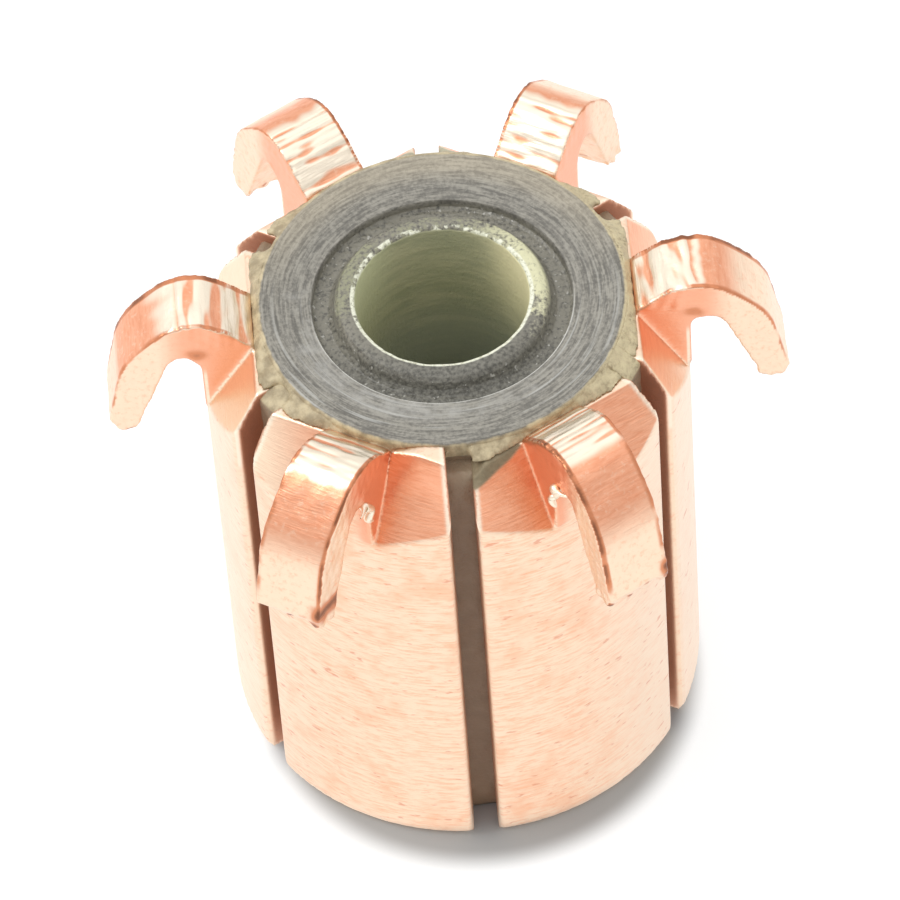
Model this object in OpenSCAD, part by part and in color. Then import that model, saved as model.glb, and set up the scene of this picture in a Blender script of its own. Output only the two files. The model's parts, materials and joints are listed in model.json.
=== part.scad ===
// Hook-type commutator: six copper bars moulded into a resin hub with a shaft bore.
// Millimetres and degrees. Z is the shaft axis, Z = 0 is the plain end it stands on,
// and the slot between bar_5 and bar_6 faces -Y.

/* [Overall] */
// Diameter of the turned brush track
track_diameter = 14; // [13.4:0.1:15]
// Height of the moulded face above the plain end
face_height = 16.7; // [15:0.1:20]

/* [Bore] */
// Diameter of the shaft bore
bore_diameter = 5; // [4:0.1:5.4]
// Edge break at both ends of the bore
bore_chamfer = 0.12; // [0.05:0.01:0.25]
// Wall of the raised collar round the bore mouth
collar_wall = 0.58; // [0.4:0.02:0.7]
// Edge break at the outer rim of the collar
collar_chamfer = 0.16; // [0.05:0.01:0.2]

/* [Face] */
// Radius of the dark turned face, measured inwards from the inside of the bars
face_margin = 0.26; // [0.2:0.02:0.5]
// Radial width of the groove between the collar and the face
groove_width = 0.66; // [0.4:0.02:0.8]
// Depth of the groove floor below the inner edge of the face
groove_depth = 0.3; // [0.1:0.05:0.6]
// How far the face dishes from its outer edge to the groove
face_dish = 0.25; // [0.05:0.05:0.4]
// Fall of the resin shoulder outside the face, from level
shoulder_angle = 30; // [20:1:36]

/* [Bars] */
// Radial thickness of the copper under the brush track
bar_thickness = 1.56; // [1.3:0.02:1.7]
// Depth of the bar tops below the moulded face
bar_top_depth = 0.45; // [0.4:0.05:0.8]
// Width of the milled slot between neighbouring bars
slot_width = 0.7; // [0.5:0.05:0.9]
// How far the slot floor lies below the inside of the bars
slot_undercut = 0.06; // [0.04:0.02:0.2]
// Edge break of the track along the slots
slot_break = 0.15; // [0.05:0.01:0.25]
// Edge break at the plain end of the track
bar_chamfer = 0.15; // [0.05:0.05:0.3]
// Slope of the flat shoulder facets beside each hook, from level
facet_angle = 58; // [52:1:62]
// Width of the bar top left between the inside of the bar and its shoulder facets
facet_land = 0.07; // [0.04:0.01:0.2]

/* [Anchors] */
// Width of the dovetail rib where it leaves the bar
anchor_neck = 1.2; // [0.8:0.1:1.6]
// Width of the dovetail rib at its buried edge
anchor_head = 2; // [1.7:0.1:2.4]
// Radial depth of the dovetail rib
anchor_depth = 1; // [0.7:0.1:1.1]
// Resin left above and below the dovetail rib
anchor_cover = 1.5; // [1:0.1:2.5]

/* [Hooks] */
// Width of the hook strip
hook_width = 2; // [1.6:0.1:2.4]
// Reach of the hook outside the brush track
hook_reach = 2.81; // [2.65:0.01:3.2]
// Rise of the crown above the moulded face
hook_rise = 0.62; // [0.5:0.02:0.9]
// Length of the hook from the moulded face down to its tip
hook_length = 3.65; // [3.2:0.05:4.2]
// Slope of the strip where it leaves the face, from level
root_angle = 38; // [35:1:42]
// Depth of the hook root below the moulded face
root_depth = 0.32; // [0.25:0.01:0.38]
// Outer radius of the bend over the crown
crown_bend = 1.55; // [1.3:0.05:1.7]
// Slope of the strip between its two bends, from level
fall_angle = 44; // [38:1:50]
// Outer radius of the bend into the leg
elbow_bend = 2.4; // [2:0.05:2.6]
// Lean of the outside of the leg, from upright
leg_angle = 12; // [6:1:16]
// Thickness of the strip between the throat roof and the crown
crown_thickness = 1.37; // [1.2:0.01:1.5]
// Thickness of the leg at its tip
tip_thickness = 0.78; // [0.65:0.01:0.95]
// Radius of the throat roof beside the brush track
throat_radius = 0.52; // [0.35:0.01:0.65]
// Edge break at the outer corner of the tip
tip_chamfer = 0.2; // [0.1:0.05:0.3]

/* [Hidden] */
$fn = 96;
bar_count = 6;
pitch = 360 / bar_count;
copper = "#c9804f";
resin = "#4c4c48";
// Overrun of every cutting tool past the surface it cuts
over = 1;
// Overlap of a straight with the arc that it runs into
tangent_overlap = 0.005;
track_r = track_diameter / 2;
bore_r = bore_diameter / 2;
collar_r = bore_r + collar_wall;
groove_r = collar_r + groove_width;
bar_inner_r = track_r - bar_thickness;
face_r = bar_inner_r - face_margin;
slot_floor_r = bar_inner_r - slot_undercut;
bar_top = face_height - bar_top_depth;
face_low = face_height - face_dish;
groove_floor = face_low - groove_depth;
shoulder_r = face_r + bar_top_depth / tan(shoulder_angle);
facet_z = bar_top - (bar_thickness - facet_land) * tan(facet_angle);
root_z = face_height - root_depth;
hook_tip_z = face_height - hook_length;
hook_far = track_r + hook_reach;
// Height at which the leg is farthest out, just above the edge break of its tip
leg_low = hook_tip_z + 2 * tip_chamfer;
// Centre of the bend over the crown, which touches the slope of the root
crown_z = face_height + hook_rise - crown_bend;
crown_x = facet_x(root_z) + (cos(root_angle) * (crown_z - root_z) + crown_bend) / sin(root_angle);
// Centre of the bend into the leg, were the two bends to meet, and the straight between them
meet_x = crown_x + (crown_bend - elbow_bend) * sin(fall_angle);
meet_z = crown_z + (crown_bend - elbow_bend) * cos(fall_angle);
leg_x = meet_x + elbow_bend * cos(leg_angle);
leg_z = meet_z + elbow_bend * sin(leg_angle);
fall_length = (hook_far - leg_x - (leg_z - leg_low) * tan(leg_angle))
    / (cos(fall_angle) - sin(fall_angle) * tan(leg_angle));
elbow_x = meet_x + fall_length * cos(fall_angle);
elbow_z = meet_z - fall_length * sin(fall_angle);

// Radius at which the shoulder plane of a bar passes a height, in the bar's middle plane.
function facet_x(z) = track_r - (z - facet_z) / tan(facet_angle);

// Point of a bend's outside, by its heading from the bend's centre.
function crown_at(heading) = [crown_x + crown_bend * cos(heading), crown_z + crown_bend * sin(heading)];
function elbow_at(heading) = [elbow_x + elbow_bend * cos(heading), elbow_z + elbow_bend * sin(heading)];

// Carries its children to the place of bar number n, counted from +X towards +Y.
module at_bar(n) {
    rotate([0, 0, pitch * (n - 1)])
        children();
}

// Stands a profile drawn in radius and height upright, with the given width across the bar.
module across(width) {
    translate([0, width / 2, 0])
        rotate([90, 0, 0])
            linear_extrude(height = width)
                children();
}

// Wedge between two slots: its flanks are parallel to the slots' middle planes, and its outer
// corners turn in where the edges of the track are broken.
module bar_wedge() {
    flank = pitch / 2;
    apex = slot_width / 2 / sin(flank);
    length = sqrt(pow(track_r, 2) - pow(slot_width / 2, 2)) - apex * cos(flank) - slot_break;
    corner_x = apex + length * cos(flank);
    corner_y = length * sin(flank);
    far_x = corner_x + track_r / 2 * cos(flank - 45);
    far_y = corner_y + track_r / 2 * sin(flank - 45);
    linear_extrude(height = face_height)
        polygon([
            [apex, 0],
            [corner_x, -corner_y],
            [far_x, -far_y],
            [far_x, far_y],
            [corner_x, corner_y],
        ]);
}

// Ring that the bars are cut from, with the edge break at the plain end.
module bar_ring() {
    rotate_extrude()
        polygon([
            [bar_inner_r, 0],
            [track_r - bar_chamfer, 0],
            [track_r, bar_chamfer],
            [track_r, bar_top],
            [bar_inner_r, bar_top],
        ]);
}

// Section outside the flat shoulder that the facets lie in, open outwards and up.
module facet_profile() {
    polygon([
        [facet_x(face_height + over), face_height + over],
        [facet_x(facet_z - over), facet_z - over],
        [facet_x(facet_z - over), face_height + over],
    ]);
}

// Cuts the two facets of a bar and leaves the hook strip standing between them.
module facet_cutters() {
    for (side = [-1, 1])
        translate([0, side * (hook_width + track_r) / 2, 0])
            across(track_r)
                facet_profile();
}

// Dovetail rib that holds the bar in the resin.
module bar_anchor() {
    translate([0, 0, anchor_cover])
        linear_extrude(height = bar_top - 2 * anchor_cover)
            polygon([
                [bar_inner_r - anchor_depth, -anchor_head / 2],
                [bar_inner_r + bar_thickness / 2, -anchor_neck / 2],
                [bar_inner_r + bar_thickness / 2, anchor_neck / 2],
                [bar_inner_r - anchor_depth, anchor_head / 2],
            ]);
}

// Space for the wire between the track and the hook: a round roof, and a flank to the tip.
module throat_profile() {
    roof_x = track_r + throat_radius;
    roof_z = face_height + hook_rise - crown_thickness - throat_radius;
    tip_x = hook_far - tip_thickness;
    to_tip = [tip_x - roof_x, hook_tip_z - roof_z];
    flank_r = throat_radius - tangent_overlap;
    lean = atan2(to_tip[1], to_tip[0]) + acos(flank_r / norm(to_tip));
    union() {
        translate([roof_x, roof_z])
            circle(r = throat_radius);
        polygon([
            [track_r, hook_tip_z - over],
            [track_r, roof_z],
            [roof_x, roof_z],
            [roof_x + flank_r * cos(lean), roof_z + flank_r * sin(lean)],
            [tip_x + over * tan(lean), hook_tip_z - over],
        ]);
    }
}

// Sector that rounds the outside of a bend, between two headings from its centre.
module bend(x, z, radius, low, high) {
    translate([x, z])
        intersection() {
            circle(r = radius);
            polygon([
                [0, 0],
                [2 * radius * cos(low), 2 * radius * sin(low)],
                [2 * radius * cos(high), 2 * radius * sin(high)],
            ]);
        }
}

// Outline of the hook strip in radius and height, from its heel on the hub to its tip.
module hook_profile() {
    difference() {
        union() {
            polygon([
                [facet_x(bar_top), bar_top],
                [track_r - bar_thickness / 2, bar_top],
                [track_r - bar_thickness / 2, facet_z],
                [track_r, facet_z],
                [track_r, hook_tip_z],
                [hook_far - tip_chamfer, hook_tip_z],
                [hook_far, leg_low],
                elbow_at(leg_angle),
                elbow_at(90 - fall_angle),
                crown_at(90 - fall_angle),
                crown_at(90 + root_angle),
                [facet_x(root_z), root_z],
            ]);
            bend(crown_x, crown_z, crown_bend, 90 - fall_angle, 90 + root_angle);
            bend(elbow_x, elbow_z, elbow_bend, leg_angle, 90 - fall_angle);
        }
        throat_profile();
    }
}

// One copper bar with its hook and its dovetail rib, pointing along +X.
module bar() {
    union() {
        difference() {
            intersection() {
                bar_ring();
                bar_wedge();
            }
            facet_cutters();
        }
        across(hook_width)
            hook_profile();
        bar_anchor();
    }
}

// Resin hub before the bars are let into it: bore, collar, groove, face and shoulder.
module hub_blank() {
    rotate_extrude()
        polygon([
            [bore_r + bore_chamfer, 0],
            [bar_inner_r, 0],
            [bar_inner_r, bar_top],
            [shoulder_r, bar_top],
            [face_r, face_height],
            [groove_r, face_low],
            [groove_r, groove_floor],
            [collar_r, groove_floor],
            [collar_r, face_height - collar_chamfer],
            [collar_r - collar_chamfer, face_height],
            [bore_r + bore_chamfer, face_height],
            [bore_r, face_height - bore_chamfer],
            [bore_r, bore_chamfer],
        ]);
}

// Saw slots through the copper and a little into the resin.
module slot_cutters() {
    for (n = [1 : bar_count])
        rotate([0, 0, pitch * (n - 0.5)])
            translate([slot_floor_r, -slot_width / 2, -over])
                cube([track_r, slot_width, face_height + 2 * over]);
}

module moulding() {
    color(resin)
        difference() {
            hub_blank();
            slot_cutters();
            for (n = [1 : bar_count])
                at_bar(n) {
                    across(2 * track_r)
                        facet_profile();
                    bar_anchor();
                }
        }
}

module bar_1() { color(copper) at_bar(1) bar(); }
module bar_2() { color(copper) at_bar(2) bar(); }
module bar_3() { color(copper) at_bar(3) bar(); }
module bar_4() { color(copper) at_bar(4) bar(); }
module bar_5() { color(copper) at_bar(5) bar(); }
module bar_6() { color(copper) at_bar(6) bar(); }

moulding();
bar_1();
bar_2();
bar_3();
bar_4();
bar_5();
bar_6();
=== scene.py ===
"""Looks of the hook-type commutator, dressed over its CAD frame. Sizes are millimetres unless said."""

import json
import math

import bmesh
import bpy
import numpy as np
from mathutils import Matrix, Vector


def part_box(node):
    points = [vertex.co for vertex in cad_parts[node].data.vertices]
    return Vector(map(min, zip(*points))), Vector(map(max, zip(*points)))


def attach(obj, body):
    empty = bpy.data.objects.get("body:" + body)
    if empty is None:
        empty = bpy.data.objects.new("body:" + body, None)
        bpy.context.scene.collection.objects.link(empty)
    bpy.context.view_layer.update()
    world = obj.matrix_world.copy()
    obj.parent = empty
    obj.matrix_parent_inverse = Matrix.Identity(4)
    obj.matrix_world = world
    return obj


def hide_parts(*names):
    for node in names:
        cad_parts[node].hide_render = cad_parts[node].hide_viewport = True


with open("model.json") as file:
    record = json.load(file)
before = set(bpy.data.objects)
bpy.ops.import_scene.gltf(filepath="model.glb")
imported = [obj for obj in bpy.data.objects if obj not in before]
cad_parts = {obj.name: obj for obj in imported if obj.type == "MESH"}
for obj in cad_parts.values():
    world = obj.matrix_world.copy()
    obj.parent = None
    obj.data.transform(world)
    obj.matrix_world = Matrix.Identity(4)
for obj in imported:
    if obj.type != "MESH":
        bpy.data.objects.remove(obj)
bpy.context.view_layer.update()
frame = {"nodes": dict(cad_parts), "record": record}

MM = 0.001
BARS = 6
PITCH = 2 * math.pi / BARS

# Sizes that the frame states
BORE_R = next(m["dims"]["r_mm"] for m in frame["record"]["mounts"] if m["name"] == "bore")
FACE_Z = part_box("moulding")[1].z / MM

# The hub's turned end, from the bore outwards, and how much longer its face is from front to back, as a share
BORE_BREAK = 0.12
COLLAR_R = BORE_R + 0.58
GROOVE_R = COLLAR_R + 0.66
FACE_R = 5.18
FACE_LOW = FACE_Z - 0.25
GROOVE_Z = FACE_LOW - 0.3
FACE_LONGER = 0.025
# Height of the turned rings, and depth of the dents in the groove, along the bore's rim and on the shoulder
RING_HEIGHT = 0.008
GROOVE_DENT = 0.014
RIM_DENT = 0.02
SHOULDER_DENT = 0.03
# Rounded lumps of the hub's shoulder beside the slot at the back, and the place where it leaves bar 5 bare,
# each with the half angles in radians at which it is full and gone
LUMP_ANGLE = math.radians(90)
LUMP_HALF = (0.2, 0.32)
LUMP_R = 5.55
LUMP_PULL = 0.55
BARE_ANGLE = math.radians(258)
BARE_HALF = (0.12, 0.17)
BARE_R = 5.24

# Bars and hooks
TRACK_R = 7.0
BAR_TOP = FACE_Z - 0.45
TRACK_TOP = FACE_Z - 1.3
SHOULDER_Z = FACE_Z - 3.2
SLOT_HALF = 0.35
SLOT_FLOOR_R = TRACK_R - 0.96
HOOK_HALF = 1.0
TIP_Z = FACE_Z - 3.65
THROAT_R = 0.52
THROAT_Z = FACE_Z - 1.27

# What differs from bar 1 to bar 6 follows, with x for the distance from the shaft along the bar's own middle.
# Shoulder facets that were cut lower: on which sides of each bar, where they start at the top, how low they
# end beside the hook and how steeply that end rises from there
LOW_FACETS = ((-1,), (), (), (), (-1, 1), (-1,))
FACET_TOP_X = 5.51
FACET_FOOT_Z = FACE_Z - 3.04
FACET_FOOT_RISE = (0.55, 0.0, 0.0, 0.0, 0.35, 0.35)
# How far each hook was bent sideways at its tip and upwards at its crown, and where each bend starts and ends
HOOK_LEAN = (0.0, 0.0, 0.0, 0.0, -0.3, -0.15)
HOOK_LIFT = (-0.1, 0.0, 0.15, 0.12, 0.0, 0.0)
LEAN_X = (5.8, 9.6)
LIFT_X = (5.6, 7.2)
# Edge of each hook whose sheared edge takes the darker painted shade, as the sign of its own sideways axis,
# how wide that edge is, and how wide the lighter line of painted shade along the other edge is
DARK_EDGE = (1, 1, -1, -1, 1, -1)
DARK_WIDTH = (0.2, 0.12, 0.12, 0.22, 0.11, 0.14)
LIGHT_WIDTH = (0.13, 0.05, 0.05, 0.13, 0.13, 0.13)
# How far one top corner of each bar stands above the others or below them, and on which side
BAR_CORNER = (0.0, -0.2, -0.2, 0.0, 0.4, 0.0)
BAR_CORNER_SIDE = (1, 1, -1, 1, 1, 1)
# Side of each bar whose top corner wears a film of resin, 0 for none, how far the film reaches from the slot
# and down the bar, and how far it rounds the corner off
COATED_SIDE = (0, 1, -1, 0, 0, -1)
FILM_WIDTH = 1.9
FILM_DEPTH = 0.5
FILM_ROUND = 0.3
# How brown each hook is over its throat, and the smudge's middle and half size along x and z
SMUDGE = (0.6, 0.1, 0.1, 0.7, 0.15, 0.15)
SMUDGE_MIDDLE = (TRACK_R + 0.1, THROAT_Z + THROAT_R + 0.22)
SMUDGE_SIZE = (0.3, 0.2)
# Where the top of each hook that is painted pale as a highlight starts, and where it ends beyond the crown,
# more or less raggedly
ROOT_X = 5.43
HIGHLIGHT_X = (7.4, 7.4, 7.45, 8.15, 7.75, 7.65)
HIGHLIGHT_FRAY = (0.05, 0.12, 0.12, 0.25, 0.08, 0.1)
# Where the creases end at the latest, and where the ruddy metal beyond the crown of each hook, partly oxide
# of its forming and partly painted shade, does
CREASED_X = 7.75
RUDDY_X = (8.3, 7.9, 8.5, 9.7, 9.25, 9.25)
# How low the creases have to lie to stay ruddy with painted shade in their valleys, against a mean of 0
CREASE_LEVEL = (-0.2, -0.5, -0.5, -0.15, -0.45, -0.55)
# Side of each hook's tip that ends in a burr with a dark spot, 0 for none, how far the burr hangs down and
# how raggedly, and the spot's middle and half size sideways and along z
TIP_BURR = (0, 0, 0, 0, 1, 1)
BURR_HANG = 0.12
BURR_RAGGED = 0.1
SPOT_MIDDLE = (0.95, TIP_Z + 0.6)
SPOT_SIZE = (0.2, 0.25)
# How far the resin in each slot stays below the tops of the bars, how far its inner end rises where it is
# level with them, and how deep its dents are
RIB_DROP = (0.35, 0.35, 0.35, 0.08, 0.35, -0.02)
RIB_RISE = 0.36
RIB_DENT = 0.04

# Depth of a hook's creases, and of the dents all over it, along its edges and at its tip
CREASE_DEPTH = 0.028
HOOK_DENT = 0.010
EDGE_DENT = 0.015
TIP_DENT = 0.065

# Below this height the bars and the hub are plain prisms, whose faces are drawn out along the shaft
PRISM_TOP = 12.6
PRISM_STRETCH = 4.5
# Size of the even faces, and how often their points are smoothed
BAR_FACE = 0.07
BAR_SOFTEN = 4
HUB_FACE = 0.1
HUB_SOFTEN = 3
# Edges of split faces are shorter than this
SPLIT_EDGE = 0.05

# The photograph's camera
CAM_AZIMUTH = math.radians(-0.99)
CAM_ELEVATION = math.radians(51.46)
CAM_ROLL = math.radians(-4.40)
CAM_DISTANCE = 211.6
CAM_LENS = 289.4
CAM_SENSOR = 36
CAM_TARGET = Vector((-0.1065, 0.0, 9.60))
# The key light, with its power in watts
KEY_PLACE = Vector((-220, 40, 300))
KEY_SIZE = 180
KEY_POWER = 0.4
# The tent's strength low down in front, low down behind and overhead
TENT_FRONT = 0.95
TENT_BACK = 1.15
TENT_TOP = 1.5
# The floor, what it adds to its diffuse light to look white to the camera and to the copper, and the middle
# of the painted shadow where that added light is held back, its squeeze from side to side, and where the
# added light starts and is full
FLOOR_HALF = 900
FLOOR_DROP = 0.01
FLOOR_SEEN = 0.66
FLOOR_MIRRORED = 0.70
SHADOW_MIDDLE = (0.2, -1.1)
SHADOW_SQUEEZE = 1.06
SHADOW_SEEN = (6.4, 7.45)
SHADOW_MIRRORED = (5.2, 6.4)


# Meshes

def wobble(points, seed, size):
    """Smooth noise at each point, mostly from -1 to 1, with features of about the given size."""
    rng = np.random.default_rng(seed)
    total = np.zeros(len(points))
    for _ in range(7):
        direction = rng.normal(size=3)
        direction *= rng.uniform(0.6, 1.6) / np.linalg.norm(direction)
        total += np.sin(points @ direction * (2 * math.pi / size) + rng.uniform(0, 2 * math.pi))
    return total / 4


def smoothstep(value, low, high):
    t = np.clip((value - low) / (high - low), 0, 1)
    return t * t * (3 - 2 * t)


def within(angle, full, gone):
    """1 up to one angle from the middle to either side, and 0 beyond another."""
    return smoothstep(np.cos(angle), math.cos(gone), math.cos(full))


def blot(a, b, middle, size):
    """Squared distance from the middle of a blot, counted in its half sizes."""
    return ((a - middle[0]) / size[0]) ** 2 + ((b - middle[1]) / size[1]) ** 2


def read_points(mesh):
    points = np.empty(len(mesh.vertices) * 3)
    normals = np.empty(len(mesh.vertices) * 3)
    mesh.vertices.foreach_get("co", points)
    mesh.vertex_normals.foreach_get("vector", normals)
    return points.reshape(-1, 3), normals.reshape(-1, 3)


def turned(points, angle):
    """Points turned about the shaft axis."""
    c, s = math.cos(angle), math.sin(angle)
    return points @ np.array([[c, s, 0], [-s, c, 0], [0, 0, 1]])


def stretch_prism(mesh, factor):
    """Scales what lies below PRISM_TOP along the shaft."""
    points, _ = read_points(mesh)
    z = points[:, 2]
    points[:, 2] = np.where(z < PRISM_TOP, PRISM_TOP + (z - PRISM_TOP) * factor, z)
    mesh.vertices.foreach_set("co", points.ravel())
    mesh.update()


def fine_copy(node, name, face, soften, angle=0.0):
    """A copy of a CAD node in millimetres, turned back by an angle, with small faces and softened edges."""
    mesh = frame["nodes"][node].data.copy()
    mesh.transform(Matrix.Rotation(-angle, 4, "Z") @ Matrix.Scale(1 / MM, 4))
    shape = bmesh.new()
    shape.from_mesh(mesh)
    everything = shape.verts[:] + shape.edges[:] + shape.faces[:]
    bmesh.ops.bisect_plane(shape, geom=everything, plane_co=(0, 0, PRISM_TOP), plane_no=(0, 0, 1))
    shape.to_mesh(mesh)
    shape.free()
    stretch_prism(mesh, 1 / PRISM_STRETCH)
    obj = bpy.data.objects.new(name, mesh)
    bpy.context.scene.collection.objects.link(obj)
    remesh = obj.modifiers.new("even_faces", "REMESH")
    remesh.mode = "VOXEL"
    remesh.voxel_size = face
    smooth = obj.modifiers.new("soft_edges", "SMOOTH")
    smooth.factor = 0.5
    smooth.iterations = soften
    graph = bpy.context.evaluated_depsgraph_get()
    fine = bpy.data.meshes.new_from_object(obj.evaluated_get(graph))
    obj.modifiers.clear()
    obj.data = fine
    stretch_prism(fine, PRISM_STRETCH)
    return obj


def refine(mesh, chosen):
    """Splits each face among the chosen points into nine and evens them out."""
    shape = bmesh.new()
    shape.from_mesh(mesh)
    edges = [e for e in shape.edges if chosen[e.verts[0].index] and chosen[e.verts[1].index]]
    bmesh.ops.subdivide_edges(shape, edges=edges, cuts=2, use_grid_fill=True)
    fine = [
        v for v in shape.verts
        if len(v.link_edges) > 2 and max(e.calc_length() for e in v.link_edges) < SPLIT_EDGE
    ]
    for _ in range(3):
        bmesh.ops.smooth_vert(
            shape, verts=fine, factor=0.5, use_axis_x=True, use_axis_y=True, use_axis_z=True)
    shape.to_mesh(mesh)
    shape.free()


def settle(obj, points, material, node=None, paint=None):
    """Writes the shaped points back in metres and hangs the piece on the part, in the place of a CAD node."""
    mesh = obj.data
    for name, values in (paint or {}).items():
        mesh.attributes.new(name, "FLOAT", "POINT").data.foreach_set("value", np.clip(values, 0, 1))
    mesh.vertices.foreach_set("co", (points * MM).ravel())
    mesh.polygons.foreach_set("use_smooth", np.ones(len(mesh.polygons), bool))
    mesh.update()
    mesh.materials.clear()
    mesh.materials.append(material)
    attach(obj, "root")
    if node:
        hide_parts(node)


def grid_piece(name, rows, columns, points):
    """A piece whose points lie in rows, each row joined end to end."""
    index = np.arange(rows * columns).reshape(rows, columns)
    index = np.hstack([index, index[:, :1]])
    corners = [index[:-1, :-1], index[:-1, 1:], index[1:, 1:], index[1:, :-1]]
    faces = np.stack(corners, axis=-1).reshape(-1, 4)
    mesh = bpy.data.meshes.new(name)
    mesh.from_pydata(points.tolist(), [], faces.tolist())
    obj = bpy.data.objects.new(name, mesh)
    bpy.context.scene.collection.objects.link(obj)
    return obj


def path_lengths(path):
    """Length along a path up to each of its points."""
    return np.concatenate([[0], np.cumsum(np.linalg.norm(np.diff(path, axis=0), axis=1))])


# Copper bars

class BarPoints:
    """The points of one bar in its own frame, and how far each belongs to the hook and to parts of it."""

    def __init__(self, n, local, normal):
        self.n = n
        self.local = local
        self.normal = normal
        self.x, self.y, self.z = local.T
        self.radius = np.hypot(self.x, self.y)
        self.sideways = np.abs(normal[:, 1])
        self.off_slot = self.radius * np.sin(PITCH / 2 - np.abs(np.arctan2(self.y, self.x)))
        outwards = smoothstep(self.x, TRACK_R + 0.1, TRACK_R + 0.4)
        self.on_hook = np.maximum(outwards, smoothstep(self.z, BAR_TOP, BAR_TOP + 0.3))
        self.on_top = self.on_hook * smoothstep(normal[:, 2], 0.35, 0.6)
        self.at_edge = smoothstep(np.abs(self.y), HOOK_HALF - 0.25, HOOK_HALF)
        on_leg = smoothstep(self.x, TRACK_R + 0.8, TRACK_R + 1.2)
        self.at_tip = smoothstep(-self.z, -TIP_Z - 0.6, -TIP_Z) * on_leg

    def own(self, values):
        """This bar's own one of six values."""
        return values[self.n - 1]

    def wobble(self, kind, size):
        """Noise with a seed of its own for each kind of mark and each bar."""
        return wobble(self.local, kind + self.n, size)


def cut_facet(local, side, rise):
    """Cuts the shoulder facet on one side of a bar down to a lower end, which rises away from the hook."""
    x, y, z = local.T
    aside = np.clip(np.abs(y), HOOK_HALF, TRACK_R / 2)
    foot = FACET_FOOT_Z + rise * (aside - HOOK_HALF)
    down = np.clip((BAR_TOP - z) / (BAR_TOP - foot), 0, 1)
    limit = FACET_TOP_X + (np.sqrt(TRACK_R ** 2 - aside ** 2) - FACET_TOP_X) * down
    beside_hook = smoothstep(side * y, HOOK_HALF, HOOK_HALF + 0.06)
    scale = 1 - beside_hook * (1 - np.minimum(limit / x, 1))
    return local * np.stack([scale, scale, np.ones(len(local))], axis=1)


def corner_lift(bar):
    """1 at the top corner of a bar beside its slot and less towards its hook and down its facet."""
    outwards = np.clip((bar.own(BAR_CORNER_SIDE) * bar.y - HOOK_HALF - 0.04) / 1.4, 0, 1)
    high = smoothstep(bar.z, BAR_TOP - 0.9, BAR_TOP - 0.05)
    return smoothstep(outwards, -0.4, 0.7) * (outwards > 0) * high


def wrinkles(bar, border):
    """Height of the crumpled bands across the top of a hook, from its root to its crown, and where they are
    painted pale on the ridges as a highlight rather than ruddy in the valleys as painted shade.
    """
    bands = wobble(bar.local * (1, 0.06, 0), 20 + bar.n, 0.25)
    bands += 0.4 * wobble(bar.local * (1, 0.25, 0), 120 + bar.n, 0.25)
    level = bar.own(CREASE_LEVEL)
    lit_ridges = smoothstep(bands, level - 0.3, level + 0.3)
    end = np.minimum(border, CREASED_X)
    reach = smoothstep(bar.x, ROOT_X + 0.02, ROOT_X + 0.2) * (1 - smoothstep(bar.x, end - 0.25, end - 0.05))
    return CREASE_DEPTH * bands * reach, 1 - reach * (1 - lit_ridges)


def hook_top(bar):
    """Rise of the creases over a hook, and where it is painted pale as a highlight up to its crown, or ruddy
    beyond it, partly oxide of forming and partly painted shade, and in its crease valleys as painted shade.
    """
    fray = bar.own(HIGHLIGHT_FRAY)
    ruddy_end = bar.own(RUDDY_X)
    border = bar.own(HIGHLIGHT_X) + fray * wobble(bar.local * (0.3, 1, 0), 30 + bar.n, 0.6)
    rise, ridge_highlight = wrinkles(bar, border)
    beyond = smoothstep(bar.x, border - 0.04 - fray, border + 0.04 + fray)
    pale_highlight = bar.on_top * smoothstep(bar.x, ROOT_X, ROOT_X + 0.15) * (1 - beyond) * ridge_highlight
    formed_and_shaded = bar.on_hook * beyond * (1 - smoothstep(bar.x, ruddy_end - 0.35, ruddy_end + 0.35))
    formed_and_shaded *= smoothstep(bar.normal[:, 2], 0.15, 0.35)
    return rise * bar.on_top, pale_highlight, np.maximum(formed_and_shaded, (1 - ridge_highlight) * bar.on_top)


def hook_edge_shade_and_marks(bar):
    """How dark a hook is painted: painted shade along its sheared edges, and dark marks at its ragged tip, in
    a spot on its burr and over its throat.
    """
    dark_side = bar.y * bar.own(DARK_EDGE) > 0
    inset = HOOK_HALF - np.where(dark_side, bar.own(DARK_WIDTH), bar.own(LIGHT_WIDTH))
    # Painted shade along the sheared edges, darker on one side of each hook, on faces that turn up and out
    sheared = smoothstep(np.abs(bar.y), inset - 0.04, inset + 0.04) * bar.on_hook
    sheared *= 1 - smoothstep(bar.sideways, 0.85, 0.98)
    sheared *= smoothstep(bar.normal[:, 2] + 0.8 * bar.normal[:, 0], 0.1, 0.5)
    sheared *= smoothstep(bar.z, TIP_Z + 0.3, TIP_Z + 1.5)
    patchy = smoothstep(bar.wobble(70, 0.9), -0.8, 0.3)
    edge_shade_and_marks = sheared * np.where(dark_side, 0.5 + 0.35 * patchy, 0.1 + 0.4 * patchy)
    ragged = smoothstep(bar.wobble(80, 0.4), 0.3, 0.7)
    edge_shade_and_marks += bar.at_tip * ragged * (1 - smoothstep(bar.sideways, 0.8, 0.95))
    spot = blot(bar.own(TIP_BURR) * bar.y, bar.z, SPOT_MIDDLE, SPOT_SIZE) * (1 + 0.4 * bar.wobble(120, 0.5))
    edge_shade_and_marks += 0.95 * np.exp(-spot) * smoothstep(bar.x, TRACK_R + 1.2, TRACK_R + 1.6)
    smudge = blot(bar.x, bar.z, SMUDGE_MIDDLE, SMUDGE_SIZE)
    return edge_shade_and_marks + bar.own(SMUDGE) * np.exp(-smudge) * smoothstep(bar.sideways, 0.7, 0.9)


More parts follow.
